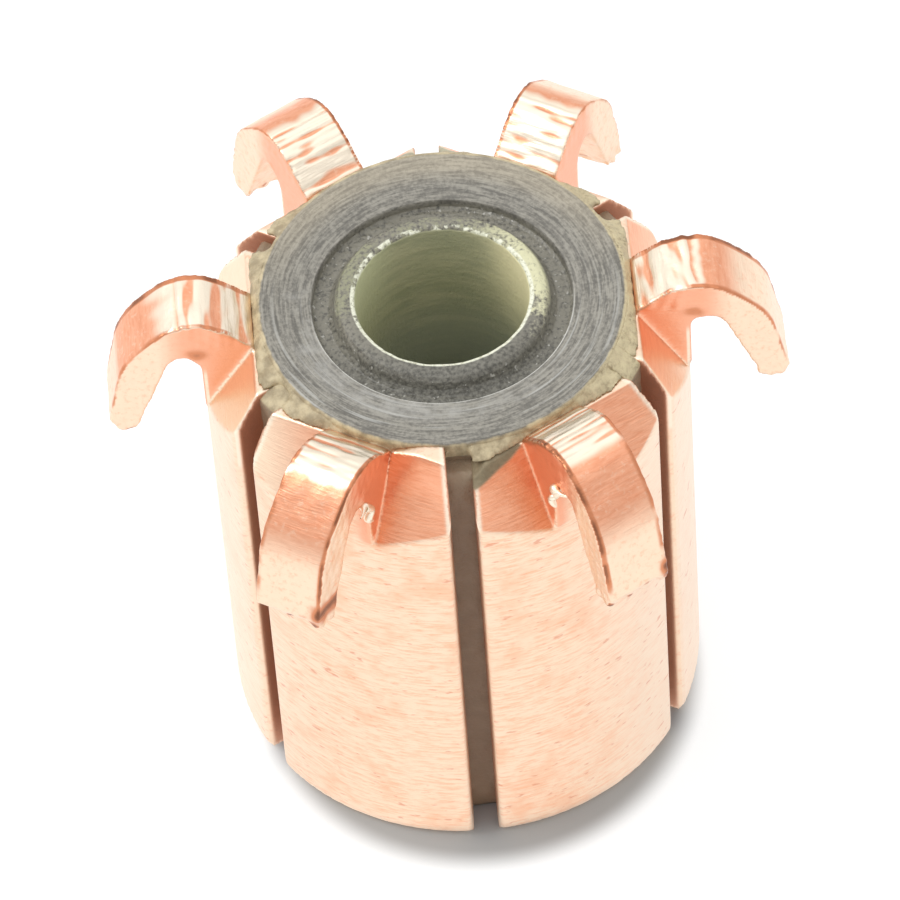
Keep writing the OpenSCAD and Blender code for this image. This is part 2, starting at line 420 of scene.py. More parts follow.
def slot_sides(bar):
    """Where a bar is sawn and its flanks painted darker as shade in the slots, where its facets are painted
    pale along the slots as a highlight, and where resin coats a corner.
    """
    sawn_and_shaded = 1 - smoothstep(bar.off_slot, SLOT_HALF + 0.01, SLOT_HALF + 0.06)
    sawn_and_shaded *= 1 - smoothstep(bar.radius, TRACK_R - 0.3, TRACK_R - 0.1)
    facet_edge_highlight = 1 - smoothstep(bar.off_slot, SLOT_HALF + 0.1, SLOT_HALF + 0.2)
    facet_edge_highlight *= (1 - sawn_and_shaded) * smoothstep(bar.z, SHOULDER_Z - 0.2, SHOULDER_Z + 0.2)
    from_corner = (bar.off_slot - SLOT_HALF) / FILM_WIDTH + np.maximum(BAR_TOP - bar.z, 0) / FILM_DEPTH
    from_corner += 0.15 * bar.wobble(90, 0.8)
    beside_hook = bar.y * bar.own(COATED_SIDE) > HOOK_HALF + 0.12
    return sawn_and_shaded, 0.85 * facet_edge_highlight, beside_hook * (1 - smoothstep(from_corner, 0.85, 1.05))


def bar_shape(bar, rise):
    """The points of a bar with its dents, creases, burr and corners, and with its hook as it was bent."""
    height = HOOK_DENT * bar.on_hook * bar.wobble(40, 0.9)
    height += EDGE_DENT * bar.on_hook * bar.at_edge * bar.wobble(50, 0.4)
    height += TIP_DENT * bar.at_tip * bar.wobble(60, 0.45)
    shaped = bar.local + bar.normal * height[:, None]
    burr = bar.at_tip * smoothstep(bar.own(TIP_BURR) * bar.y, 0.5, 0.9)
    shaped[:, 2] -= burr * (BURR_HANG + BURR_RAGGED * bar.wobble(130, 0.4))
    beside_slot = 1 - smoothstep(bar.off_slot, SLOT_HALF, SLOT_HALF + 0.45)
    beside_slot *= smoothstep(bar.z, BAR_TOP - 0.6, BAR_TOP - 0.1)
    shaped[:, 2] -= FILM_ROUND * beside_slot * (bar.y * bar.own(COATED_SIDE) > 0)
    shaped[:, 2] += rise + bar.own(BAR_CORNER) * corner_lift(bar)
    lean = np.clip((bar.x - LEAN_X[0]) / (LEAN_X[1] - LEAN_X[0]), 0, 1) ** 2
    shaped[:, 1] += bar.own(HOOK_LEAN) * bar.on_hook * lean
    shaped[:, 2] += bar.own(HOOK_LIFT) * bar.on_hook * smoothstep(bar.x, *LIFT_X)
    return shaped


def copper_bar(n, material):
    """One bar with its hook: creased root, sheared edges, burred tip and sawn flanks."""
    angle = PITCH * (n - 1)
    obj = fine_copy(f"bar_{n}", f"copper_bar_{n}", BAR_FACE, BAR_SOFTEN, angle)
    points, normals = read_points(obj.data)
    refine(obj.data, (points[:, 2] > BAR_TOP) & (points[:, 0] < TRACK_R + 0.9) & (normals[:, 2] > 0.4))
    local, normal = read_points(obj.data)
    for side in LOW_FACETS[n - 1]:
        local = cut_facet(local, side, FACET_FOOT_RISE[n - 1])
    bar = BarPoints(n, local, normal)
    rise, pale_highlight, formed_and_shaded = hook_top(bar)
    sawn_and_shaded, facet_edge_highlight, coated = slot_sides(bar)
    paint = {
        "edge_shade_and_marks": hook_edge_shade_and_marks(bar),
        "sawn_and_shaded": sawn_and_shaded,
        "pale_highlight": np.maximum(pale_highlight, facet_edge_highlight),
        "formed_and_shaded": formed_and_shaded,
        "coated": coated,
    }
    settle(obj, turned(bar_shape(bar, rise), angle), material, f"bar_{n}", paint)


def throat_burr(n, side, material):
    """Beaded thread of copper that the wire channel's cutter left on one edge of a hook's throat."""
    turns, around = 90, 12
    straight, drop_length, curl_size = 0.4, 0.5, 0.05
    half_thick, bead = 0.13, 0.035
    t = np.linspace(0, 1, turns)
    heading = np.radians(180 - 100 * np.clip((t - straight) / (1 - straight), 0, 1))
    drop = drop_length * np.clip(1 - t / straight, 0, 1)
    rng = np.random.default_rng(n)
    curl = [curl_size * np.sin(t * rng.uniform(9, 16) + rng.uniform(0, 6)) for _ in range(3)]
    middle = np.stack([
        TRACK_R + THROAT_R + THROAT_R * np.cos(heading) + curl[0],
        side * (HOOK_HALF + 0.05) + curl[1],
        THROAT_Z + THROAT_R * np.sin(heading) - drop + curl[2],
    ], axis=1)
    along = np.gradient(middle, axis=0)
    along /= np.linalg.norm(along, axis=1, keepdims=True)
    first = np.cross(along, (0.3, 0.2, 0.93))
    first /= np.linalg.norm(first, axis=1, keepdims=True)
    second = np.cross(along, first)
    thick = (half_thick + bead * np.sin(t * 13 + n)) * np.sqrt(np.sin(math.pi * np.clip(t, 0.01, 0.99)))
    phi = np.linspace(0, 2 * math.pi, around, endpoint=False)
    ring = np.cos(phi)[None, :, None] * first[:, None] + np.sin(phi)[None, :, None] * second[:, None]
    points = (middle[:, None] + thick[:, None, None] * ring).reshape(-1, 3)
    obj = grid_piece(f"throat_burr_{n}", turns, around, points)
    # The burr is painted pale all over as a highlight
    whole = np.ones(len(points))
    settle(obj, turned(points, PITCH * (n - 1)), material, paint={"pale_highlight": whole, "formed_and_shaded": whole})


# Resin hub

def turned_face(material):
    """The turned end of the hub, swept round the shaft: bore mouth, collar, groove and ringed face."""
    path = np.array([
        (BORE_R + 0.02, FACE_Z - 1.0),
        (BORE_R - 0.01, FACE_Z - 0.9),
        (BORE_R - 0.01, FACE_Z - BORE_BREAK),
        (BORE_R + 0.03, FACE_Z - 0.04),
        (BORE_R + BORE_BREAK, FACE_Z),
        (COLLAR_R - 0.25, FACE_Z - 0.01),
        (COLLAR_R - 0.1, FACE_Z - 0.07),
        (COLLAR_R, FACE_Z - 0.2),
        (COLLAR_R + 0.07, GROOVE_Z + 0.14),
        (COLLAR_R + 0.2, GROOVE_Z),
        (GROOVE_R - 0.12, GROOVE_Z),
        (GROOVE_R - 0.02, GROOVE_Z + 0.07),
        (GROOVE_R, FACE_LOW - 0.03),
        (GROOVE_R + 0.03, FACE_LOW + 0.02),
        (GROOVE_R + 0.09, FACE_LOW + 0.015),
        (FACE_R - 0.06, FACE_Z - 0.005),
        (FACE_R + 0.02, FACE_Z - 0.01),
        (FACE_R + 0.1, FACE_Z - 0.05),
        (FACE_R + 0.14, FACE_Z - 0.12),
        (FACE_R + 0.15, BAR_TOP - 0.1),
    ])
    reach = path_lengths(path)
    rows, columns = 175, 420
    steps = np.linspace(0, reach[-1], rows)
    r, z = np.interp(steps, reach, path[:, 0]), np.interp(steps, reach, path[:, 1])
    phi = np.linspace(0, 2 * math.pi, columns, endpoint=False)
    across = np.repeat(r, columns)
    points = np.stack([
        np.outer(r, np.cos(phi)).ravel(),
        np.outer(r, np.sin(phi)).ravel(),
        np.repeat(z, columns),
    ], axis=1)
    inside = 1 - smoothstep(across, GROOVE_R - 0.06, GROOVE_R)
    on_face = smoothstep(across, GROOVE_R + 0.08, GROOVE_R + 0.15)
    on_face *= 1 - smoothstep(across, FACE_R - 0.1, FACE_R)
    on_rim = smoothstep(points[:, 2], FACE_Z - 0.3, FACE_Z - 0.1)
    on_rim *= 1 - smoothstep(across, BORE_R + 0.1, BORE_R + 0.3)
    ringed = np.stack([across * 5, points[:, 0] * 0.12, points[:, 1] * 0.12], axis=1)
    points[:, 1] *= 1 + FACE_LONGER * smoothstep(across, GROOVE_R, FACE_R)
    points[:, 2] += RING_HEIGHT * on_face * wobble(ringed, 3, 1.0)
    points[:, 2] += GROOVE_DENT * inside * (1 - on_rim) * wobble(points, 4, 0.3)
    points[:, 2] += RIM_DENT * on_rim * wobble(points, 5, 0.5)
    obj = grid_piece("turned_face", rows, columns, points)
    settle(obj, points, material)


def resin_hub(material):
    """The rest of the hub: bore, slot floors and the ragged shoulder between the face and the bars."""
    obj = fine_copy("moulding", "resin_hub", HUB_FACE, HUB_SOFTEN)
    points, normals = read_points(obj.data)
    x, y, z = points.T
    radius = np.hypot(x, y)
    around = np.arctan2(y, x)
    shoulder = smoothstep(radius, FACE_R, FACE_R + 0.2) * smoothstep(z, BAR_TOP - 0.1, BAR_TOP)
    points = points + normals * (SHOULDER_DENT * shoulder * wobble(points, 7, 0.5))[:, None]
    # The face is a piece of its own, and the hub stays below it
    covered_z = GROOVE_Z - 0.15
    covered = (radius < FACE_R + 0.04) & (z > covered_z) & (radius > BORE_R + 0.05)
    points[covered, 2] = covered_z
    # Rounded lumps beside the slot at the back
    lump = shoulder * within(around - LUMP_ANGLE, *LUMP_HALF)
    pull = 1 - LUMP_PULL * lump * smoothstep(radius, LUMP_R, LUMP_R + 0.25) * (radius - LUMP_R) / radius
    points[:, :2] *= pull[:, None]
    # Beside the front slot one corner of bar 5 lies bare
    bare = within(around - BARE_ANGLE, *BARE_HALF) * smoothstep(radius, BARE_R, BARE_R + 0.1)
    points[:, 2] -= bare * np.clip(points[:, 2] - BAR_TOP + 0.06, 0, 1)
    settle(obj, points, material, "moulding")


def slot_rib(n, material):
    """Resin in the slot after bar n, which the saw left standing with a ragged top."""
    inner = FACE_R + 0.1
    foot = 0.02
    top = BAR_TOP - RIB_DROP[n - 1]
    path = np.array([
        (inner, top + RIB_RISE * (1 - RIB_DROP[n - 1] / max(RIB_DROP))),
        (SLOT_FLOOR_R - 0.15, top),
        (SLOT_FLOOR_R - 0.03, top - 0.1),
        (SLOT_FLOOR_R, top - 0.3),
        (SLOT_FLOOR_R, foot + 0.13),
        (SLOT_FLOOR_R - 0.1, foot),
        (inner, foot),
    ])
    reach = path_lengths(path)
    ragged_reach = 2
    top_steps = np.linspace(0, ragged_reach, 30, endpoint=False)
    steps = np.concatenate([top_steps, np.linspace(ragged_reach, reach[-1], 50)])
    columns = 24
    side = np.linspace(-1, 1, columns) * (SLOT_HALF + 0.03)
    r, z = (np.repeat(np.interp(steps, reach, path[:, i])[:, None], columns, axis=1) for i in range(2))
    front = np.stack([r, np.broadcast_to(side, r.shape), z], axis=-1)
    proud = (r - inner) / (SLOT_FLOOR_R - inner)
    front[..., 0] += proud * (RIB_DENT * wobble(front.reshape(-1, 3), 100 + n, 0.8)).reshape(r.shape)
    above_foot = z > 1
    dents = RIB_DENT * wobble(front.reshape(-1, 3), 110 + n, 0.6)
    front[..., 2] += proud * dents.reshape(r.shape) * above_foot
    back = front[:, ::-1].copy()
    back[..., 0] = inner
    points = np.concatenate([front, back], axis=1).reshape(-1, 3)
    obj = grid_piece(f"slot_rib_{n}", len(steps), 2 * columns, points)
    settle(obj, turned(points, PITCH * (n - 0.5)), material)


# Materials

class Shade:
    """A node material in the making, with the sockets that its patterns share."""

    def __init__(self, name):
        self.material = bpy.data.materials.new(name)
        self.material.use_nodes = True
        self.tree = self.material.node_tree
        self.bsdf = self.tree.nodes["Principled BSDF"]
        place = self.add("ShaderNodeTexCoord").outputs["Object"]
        scaled = self.add("ShaderNodeVectorMath", place, settings={"operation": "SCALE"}, Scale=1 / MM)
        self.mm = scaled.outputs[0]
        self.x, self.y, self.z = self.add("ShaderNodeSeparateXYZ", self.mm).outputs
        flat = self.join(self.x, self.y, 0)
        length = self.add("ShaderNodeVectorMath", flat, settings={"operation": "LENGTH"})
        self.radius = length.outputs["Value"]
        facing = self.add("ShaderNodeNewGeometry").outputs["Normal"]
        self.up = self.add("ShaderNodeSeparateXYZ", facing).outputs["Z"]

    def put(self, socket, value):
        if isinstance(value, bpy.types.NodeSocket):
            self.tree.links.new(value, socket)
        else:
            socket.default_value = value

    def add(self, kind, *inputs, settings=None, **named):
        node = self.tree.nodes.new(kind)
        for key, value in (settings or {}).items():
            setattr(node, key, value)
        for socket, value in zip(node.inputs, inputs):
            self.put(socket, value)
        for key, value in named.items():
            self.put(node.inputs[key], value)
        return node

    def join(self, x, y, z):
        return self.add("ShaderNodeCombineXYZ", x, y, z).outputs[0]

    def math(self, operation, *values):
        return self.add("ShaderNodeMath", *values, settings={"operation": operation}).outputs[0]

    def times(self, a, b):
        return self.math("MULTIPLY", a, b)

    def plus(self, a, b):
        return self.math("ADD", a, b)

    def step(self, value, low, high):
        """0 at low, 1 at high and smooth between, whichever of the two is larger."""
        node = self.add("ShaderNodeMapRange", settings={"interpolation_type": "SMOOTHSTEP"}, Value=value)
        ends = (low, high, 0.0, 1.0) if low < high else (high, low, 1.0, 0.0)
        for key, end in zip(("From Min", "From Max", "To Min", "To Max"), ends):
            node.inputs[key].default_value = end
        return node.outputs["Result"]

    def band(self, value, low, high, soft):
        """1 between low and high, with soft ends."""
        above = self.step(value, low - soft, low + soft)
        return self.times(above, self.step(value, high + soft, high - soft))

    def stretched(self, across, along):
        """Place with its own scale across the shaft and along it."""
        return self.join(self.times(self.x, across), self.times(self.y, across), self.times(self.z, along))

    def ringed(self, out, around):
        """Place with its own scale along the radius and around the shaft."""
        return self.join(self.times(self.radius, out), self.times(self.x, around), self.times(self.y, around))

    def noise(self, place, scale, detail=3.0, rough=0.55):
        node = self.add("ShaderNodeTexNoise", Vector=place, Scale=scale, Detail=detail, Roughness=rough)
        return node.outputs["Fac"]

    def painted(self, name):
        """Value that the mesh carries under a name."""
        return self.add("ShaderNodeAttribute", settings={"attribute_name": name}).outputs["Fac"]

    def mix(self, factor, a, b):
        """Colour that goes from a to b with the factor."""
        node = self.add("ShaderNodeMix", settings={"data_type": "RGBA"})
        self.put(node.inputs[0], factor)
        self.put(node.inputs[6], a)
        self.put(node.inputs[7], b)
        return node.outputs[2]

    def blend(self, factor, a, b):
        """Number that goes from a to b with the factor."""
        node = self.add("ShaderNodeMix", settings={"data_type": "FLOAT"})
        self.put(node.inputs[0], factor)
        self.put(node.inputs[2], a)
        self.put(node.inputs[3], b)
        return node.outputs[0]

    def bump(self, height, depth, normal=None):
        """Bump from a 0 to 1 height that stands for a depth in millimetres."""
        node = self.add("ShaderNodeBump", Height=height, Distance=depth * MM, Strength=1.0)
        if normal is not None:
            self.put(node.inputs["Normal"], normal)
        return node.outputs[0]


def rgb(r, g, b):
    return (r, g, b, 1.0)


# Colours of the copper: the track, the hooks and what was cut, and the film of resin on some corners
BRIGHT = rgb(0.95, 0.72, 0.54)
STREAK = rgb(0.93, 0.54, 0.35)
BLOTCH = rgb(0.92, 0.50, 0.31)
SPECK = rgb(0.74, 0.28, 0.17)
# Paler copper that the side tracks take as a painted reflection of the white surroundings
PALE_TRACK_REFLECTION = rgb(0.97, 0.80, 0.65)
GRAINED = rgb(0.93, 0.58, 0.40)
# Deeper orange for painted shade and copper-on-copper reflection on the hooks' inner faces
HOOK_INSIDE_SHADE = rgb(0.93, 0.45, 0.285)
# Ruddy copper, partly the oxide of forming and partly painted shade of the mid tones
RUDDY = rgb(0.94, 0.465, 0.29)
RUDDY_DARK = rgb(0.85, 0.365, 0.21)
RUDDY_FLECK = rgb(0.97, 0.66, 0.48)
# Paler copper that side facets take as a painted reflection of the bright horizon
PALE_FLANK_REFLECTION = rgb(0.97, 0.75, 0.56)
# Pale copper painted as a highlight on hook tops, crease ridges, facet edges by the slots and throat burrs
HIGHLIGHT_PALE = rgb(0.985, 0.87, 0.71)
# Dark copper for painted shade along sheared edges and for dark marks at tips, burrs and throats
DARK_SHADE_AND_MARKS = rgb(0.68, 0.27, 0.14)
DARKEST_SHADE_AND_MARKS = rgb(0.22, 0.09, 0.05)
# Darker copper of the sawn flanks: their own finish, darkened further as painted shade in the slots
SAWN_SHADED = rgb(0.64, 0.35, 0.235)
FILM_DARK = rgb(0.16, 0.125, 0.07)
FILM_LIGHT = rgb(0.34, 0.28, 0.175)
FILM_BACK = rgb(0.44, 0.42, 0.31)

# Colours of the resin: the bore, the slots and the shoulder, the turned face, the groove and the collar
OLIVE_DARK = rgb(0.36, 0.37, 0.24)
OLIVE_LIGHT = rgb(0.50, 0.49, 0.32)
# Paler olive painted near the bore's mouth as light falling in, most at +X
OLIVE_LIT_RIGHT = rgb(0.95, 0.88, 0.55)
OLIVE_LIT_LEFT = rgb(0.65, 0.67, 0.43)
OLIVE_DEEP = rgb(0.45, 0.475, 0.39)
SLOT_DARK = rgb(0.24, 0.175, 0.115)
SLOT_LIGHT = rgb(0.36, 0.265, 0.175)
TAN_DARK = rgb(0.33, 0.265, 0.16)
TAN_LIGHT = rgb(0.58, 0.49, 0.31)
TAN_RIGHT = rgb(0.60, 0.52, 0.32)
FACE_DARK = rgb(0.135, 0.128, 0.11)
FACE_LIGHT = rgb(0.32, 0.303, 0.26)
# Pale arcs painted on the face at the front as glints of the turning marks
FACE_GLINT = rgb(0.52, 0.52, 0.49)
FACE_WORN = rgb(0.42, 0.41, 0.38)
DUSTY_DARK = rgb(0.25, 0.222, 0.172)
DUSTY_LIGHT = rgb(0.43, 0.385, 0.30)
GROOVE_DARK = rgb(0.08, 0.077, 0.064)
GROOVE_LIGHT = rgb(0.2, 0.192, 0.162)
# Lighter groove colour painted towards the back as painted light
GROOVE_LIT_BACK = rgb(0.23, 0.217, 0.175)
# Pale line painted along the groove's outer edge at the front as a highlight
GROOVE_EDGE_HIGHLIGHT = rgb(0.66, 0.65, 0.6)
FIBRE = rgb(0.5, 0.49, 0.44)
# Pale collar colours painted at both sides as painted light, paler at +X
LIP_LIT_LEFT = rgb(0.30, 0.30, 0.19)
LIP_LIT_RIGHT = rgb(0.66, 0.645, 0.42)
RIM_DARK = rgb(0.5, 0.5, 0.36)
RIM_LIGHT = rgb(0.82, 0.83, 0.68)

FLOOR_GREY = rgb(0.41, 0.42, 0.42)


def copper_material():
    """Bare copper: a turned track, and ruddier faces where the shoulders and hooks were formed, partly their
    oxide and partly painted shade, with painted highlights, reflections and shade on hooks, facets and
    tracks.
    """
    s = Shade("bare_copper")
    below_shoulder = s.step(s.z, TRACK_TOP + 0.2, TRACK_TOP - 0.2)
    on_track = s.times(s.band(s.radius, TRACK_R - 0.06, TRACK_R + 0.03, 0.02), below_shoulder)
    streaks = s.noise(s.stretched(1.8, 12.0), 1.0, 5.0, 0.65)
    scratches = s.noise(s.stretched(1.3, 30.0), 1.0, 2.0, 0.5)
    specks = s.step(s.noise(s.stretched(2.2, 7.0), 1.0, 2.0, 0.5), 0.64, 0.74)
    blotches = s.noise(s.mm, 0.8, 3.0)
    grain = s.noise(s.mm, 6.0, 4.0, 0.6)
    marks = ("edge_shade_and_marks", "sawn_and_shaded", "pale_highlight", "formed_and_shaded", "coated")
    edge_shade_and_marks, sawn_and_shaded, pale_highlight, formed_and_shaded, coated = (s.painted(name) for name in marks)
    track = s.mix(s.step(streaks, 0.42, 0.70), BRIGHT, STREAK)
    track = s.mix(s.times(s.step(blotches, 0.48, 0.72), 0.55), track, BLOTCH)
    # Tracks towards +X and -X are painted paler, a painted reflection of the white surroundings at grazing
    # angles
    aside = s.step(s.math("ABSOLUTE", s.plus(s.x, 0.8)), 3.4, 6.9)
    track = s.mix(s.times(aside, 0.7), track, PALE_TRACK_REFLECTION)
    track = s.mix(s.times(specks, 0.6), track, SPECK)
    # Slopes between upright and level are painted ruddy by their tilt, partly the oxide of their forming and
    # partly painted shade; the tops up to the crowns get a paler base as a painted highlight, and the legs
    # keep the bright base
    near_hook = s.step(s.z, SHOULDER_Z - 0.3, SHOULDER_Z + 0.3)
    slope = s.band(s.plus(s.up, s.times(blotches, 0.1)), 0.30, 0.86, 0.1)
    slope_shade = s.times(s.times(slope, s.step(s.radius, TRACK_R + 0.9, TRACK_R + 0.5)), near_hook)
    # Faces near the root and throat that do not face up are painted deeper orange, as painted shade and
    # reflection of copper on copper
    inside = s.times(s.step(s.radius, TRACK_R + 1.4, TRACK_R + 0.4), s.step(s.up, 0.75, 0.5))
    inside = s.times(inside, near_hook)
    ruddy = s.mix(s.step(streaks, 0.35, 0.7), RUDDY, RUDDY_DARK)
    ruddy = s.mix(s.times(s.step(grain, 0.52, 0.7), s.times(formed_and_shaded, 0.45)), ruddy, RUDDY_FLECK)
    # Facets towards +X and -X are painted paler, a painted reflection of the bright horizon
    flank = s.mix(s.step(s.math("ABSOLUTE", s.plus(s.x, -0.9)), 4.2, 6.8), ruddy, PALE_FLANK_REFLECTION)
    hook = s.mix(s.step(grain, 0.5, 0.75), BRIGHT, GRAINED)
    hook = s.mix(inside, hook, HOOK_INSIDE_SHADE)
    hook = s.mix(slope_shade, hook, flank)
    # Ruddy beyond the crowns, partly oxide of forming and partly painted shade, and ruddy in the crease
    # valleys as painted shade
    hook = s.mix(formed_and_shaded, hook, ruddy)
    # Painted highlight: a paler base where hook tops, crease ridges, facet edges by the slots and throat
    # burrs catch the light
    hook = s.mix(pale_highlight, hook, HIGHLIGHT_PALE)
    # Painted shade along sheared edges, and dark marks at tips, burrs and throats
    hook = s.mix(s.step(edge_shade_and_marks, 0.0, 0.5), hook, DARK_SHADE_AND_MARKS)
    hook = s.mix(s.step(edge_shade_and_marks, 0.5, 1.0), hook, DARKEST_SHADE_AND_MARKS)
    # Sawn flanks painted darker, partly their finish and partly painted shade in the slots
    hook = s.mix(sawn_and_shaded, hook, SAWN_SHADED)
    film = s.mix(grain, FILM_DARK, FILM_LIGHT)
    film = s.mix(s.step(s.y, 0.0, 4.0), film, FILM_BACK)
    hook = s.mix(coated, hook, film)
    s.put(s.bsdf.inputs["Base Color"], s.mix(on_track, hook, track))
    s.put(s.bsdf.inputs["Metallic"], s.math("SUBTRACT", 1.0, coated))
    satin = s.blend(formed_and_shaded, s.blend(grain, 0.24, 0.42), 0.42)
    satin = s.blend(s.math("MAXIMUM", sawn_and_shaded, coated), satin, 0.65)
    s.put(s.bsdf.inputs["Roughness"], s.blend(on_track, satin, s.blend(scratches, 0.26, 0.46)))
    turnings = s.bump(s.plus(scratches, streaks), 0.010)
    s.put(s.bsdf.inputs["Normal"], s.bump(grain, 0.008, turnings))
    return s.material


def bore_color(s):
    """Olive of the bore's wall, painted paler near the mouth at both sides, most at +X, as light falling in,
    and greyer deep down.
    """
    reamed = s.noise(s.stretched(0.6, 3.5), 1.0, 3.0, 0.6)
    near_mouth = s.step(s.z, FACE_Z - 5, FACE_Z)
    olive = s.mix(s.step(reamed, 0.3, 0.7), OLIVE_DARK, OLIVE_LIGHT)
    # Painted light: paler near the mouth on both sides, most at +X
    olive = s.mix(s.times(s.step(s.x, 1.0, 2.3), near_mouth), olive, OLIVE_LIT_RIGHT)
    olive = s.mix(s.times(s.step(s.x, -1.0, -2.3), near_mouth), olive, OLIVE_LIT_LEFT)
    return s.mix(s.times(s.step(s.z, FACE_Z - 2.2, FACE_Z - 5.7), 0.8), olive, OLIVE_DEEP)


def face_color(s, rings, mottle, fine):
    """Grey of the turned face, with pale arcs at the front as painted glints, wear at the front and dust at
    the back.
    """
    turnings = s.plus(s.times(rings, 0.65), s.times(fine, 0.35))
    face = s.mix(s.step(turnings, 0.38, 0.62), FACE_DARK, FACE_LIGHT)
    # Pale arcs at the front are painted glints of the turning marks
    glint_arcs = s.step(s.noise(s.ringed(9.0, 0.3), 1.0, 2.0, 0.5), 0.56, 0.70)
    glint_arcs = s.times(glint_arcs, s.step(s.y, 2.0, -3.0))
    face = s.mix(s.times(glint_arcs, 0.6), face, FACE_GLINT)
    worn = s.plus(s.times(s.x, -0.03), s.plus(s.times(s.y, -0.07), s.times(mottle, 0.9)))
    face = s.mix(s.times(s.step(worn, 0.5, 1.1), s.step(s.radius, 4.8, 4.1)), face, FACE_WORN)
    dusty = s.mix(s.step(turnings, 0.36, 0.64), DUSTY_DARK, DUSTY_LIGHT)
    return s.mix(s.times(s.step(s.y, 0.0, 4.0), s.step(s.radius, 4.2, 5.0)), face, dusty)


def resin_material():
    """Glass-filled resin: a turned grey face, a darker moulded groove, and tan or olive where it was cut."""
    s = Shade("glass_filled_resin")
    high = s.step(s.z, BAR_TOP - 0.25, BAR_TOP - 0.15)
    rings = s.noise(s.ringed(12.0, 1.1), 1.0, 4.0, 0.65)
    mottle = s.noise(s.mm, 2.2, 4.0, 0.6)
    fine = s.noise(s.mm, 9.0, 3.0, 0.6)
    fibres = s.step(s.noise(s.mm, 6.5, 2.0, 0.5), 0.64, 0.72)
    olive = bore_color(s)
    face = face_color(s, rings, mottle, fine)
    tan = s.mix(s.step(mottle, 0.35, 0.65), TAN_DARK, TAN_LIGHT)
    tan = s.mix(s.times(s.step(s.x, 1.0, 6.0), s.step(fine, 0.3, 0.6)), tan, TAN_RIGHT)
    dark = s.mix(s.step(fine, 0.3, 0.7), GROOVE_DARK, GROOVE_LIGHT)
    # The groove is painted lighter towards the back, as painted light
    dark = s.mix(s.times(s.step(s.y, -3.2, -0.5), s.step(fine, 0.25, 0.6)), dark, GROOVE_LIT_BACK)
    groove = s.mix(s.times(fibres, 0.8), dark, FIBRE)
    # The collar's top is painted pale at both sides as painted light, most at +X, and stays dark at the front
    sides = s.times(s.x, s.plus(s.times(s.x, 0.020), 0.02))
    front = s.times(s.step(s.y, 0.8, -2.0), -0.25)
    lit_pale = s.plus(s.plus(sides, front), s.plus(s.times(fine, 0.6), s.times(mottle, 0.4)))
    lip = s.mix(s.step(lit_pale, 0.46, 0.70), dark, s.mix(s.step(s.x, 0.5, 2.5), LIP_LIT_LEFT, LIP_LIT_RIGHT))
    # The bore's rim is chipped towards the back
    rim = s.mix(s.step(fine, 0.3, 0.55), RIM_DARK, RIM_LIGHT)
    chips = s.plus(s.noise(s.mm, 3.5, 3.0, 0.6), s.times(s.plus(s.y, -0.8), 0.07))
    rim = s.mix(s.step(chips, 0.5, 0.62), rim, lip)
    color = s.mix(s.step(s.radius, BORE_R - 0.002, BORE_R + 0.01), olive, rim)
    color = s.mix(s.step(s.radius, BORE_R + 0.1, BORE_R + 0.15), color, lip)
    color = s.mix(s.step(s.radius, COLLAR_R - 0.1, COLLAR_R + 0.04), color, groove)
    # A pale line along the groove's outer edge at the front is a painted highlight
    edge_highlight = s.mix(s.times(s.step(mottle, 0.3, 0.5), s.step(s.y, 1.0, -2.0)), face, GROOVE_EDGE_HIGHLIGHT)
    color = s.mix(s.step(s.radius, GROOVE_R - 0.02, GROOVE_R), color, edge_highlight)
    color = s.mix(s.step(s.radius, GROOVE_R + 0.035, GROOVE_R + 0.06), color, face)
    # The turned face reaches far to the back and farthest to the front
    farther = s.times(s.times(s.y, s.y), s.blend(s.step(s.y, 1.0, -1.0), -0.003, -0.007))
    ragged = s.plus(s.plus(s.radius, s.times(mottle, 0.1)), farther)
    color = s.mix(s.step(ragged, FACE_R + 0.05, FACE_R + 0.11), color, tan)
    slot = s.mix(mottle, SLOT_DARK, SLOT_LIGHT)
    low = s.mix(s.step(s.radius, BORE_R + 0.3, BORE_R + 0.5), olive, slot)
    s.put(s.bsdf.inputs["Base Color"], s.mix(high, low, color))
    in_groove = s.times(s.band(s.radius, COLLAR_R - 0.1, GROOVE_R, 0.03), high)
    s.put(s.bsdf.inputs["Roughness"], s.blend(in_groove, 0.5, 0.28))
    on_face = s.times(s.band(s.radius, GROOVE_R, FACE_R, 0.03), high)
    turnings = s.bump(s.times(rings, on_face), 0.02)
    s.put(s.bsdf.inputs["Normal"], s.bump(fine, 0.03, turnings))
    return s.material


# Studio

def floor_material():
    """Pale floor that goes to white outside the object's contact shadow, for the camera and the copper; that
    shadow is real in its diffuse light and painted where the added glow is held back.
    """
    s = Shade("pale_floor")
    s.tree.nodes.remove(s.bsdf)
    path = s.add("ShaderNodeLightPath")
    off_x = s.times(s.plus(s.x, -SHADOW_MIDDLE[0]), SHADOW_SQUEEZE)
    off_y = s.plus(s.y, -SHADOW_MIDDLE[1])
    away = s.math("SQRT", s.plus(s.times(off_x, off_x), s.times(off_y, off_y)))
    # Near the object the added glow is held back, which paints the contact shadow for the camera and for the
    # copper
    seen = s.times(s.times(path.outputs["Is Camera Ray"], FLOOR_SEEN), s.step(away, *SHADOW_SEEN))
    mirrored = s.times(path.outputs["Is Glossy Ray"], FLOOR_MIRRORED)
    mirrored = s.times(mirrored, s.step(away, *SHADOW_MIRRORED))
    glow = s.add("ShaderNodeEmission", Strength=s.plus(seen, mirrored))
    diffuse = s.add("ShaderNodeBsdfDiffuse", Color=FLOOR_GREY)
    both = s.add("ShaderNodeAddShader", glow.outputs[0], diffuse.outputs[0])
    s.put(s.tree.nodes["Material Output"].inputs["Surface"], both.outputs[0])
    return s.material


def studio_floor():
    half = FLOOR_HALF * MM
    corners = [(-half, -half, 0), (half, -half, 0), (half, half, 0), (-half, half, 0)]
    mesh = bpy.data.meshes.new("floor")
    mesh.from_pydata(corners, [], [(0, 1, 2, 3)])
    floor = bpy.data.objects.new("floor", mesh)
    bpy.context.scene.collection.objects.link(floor)
    floor.location.z = -FLOOR_DROP * MM
    mesh.materials.append(floor_material())


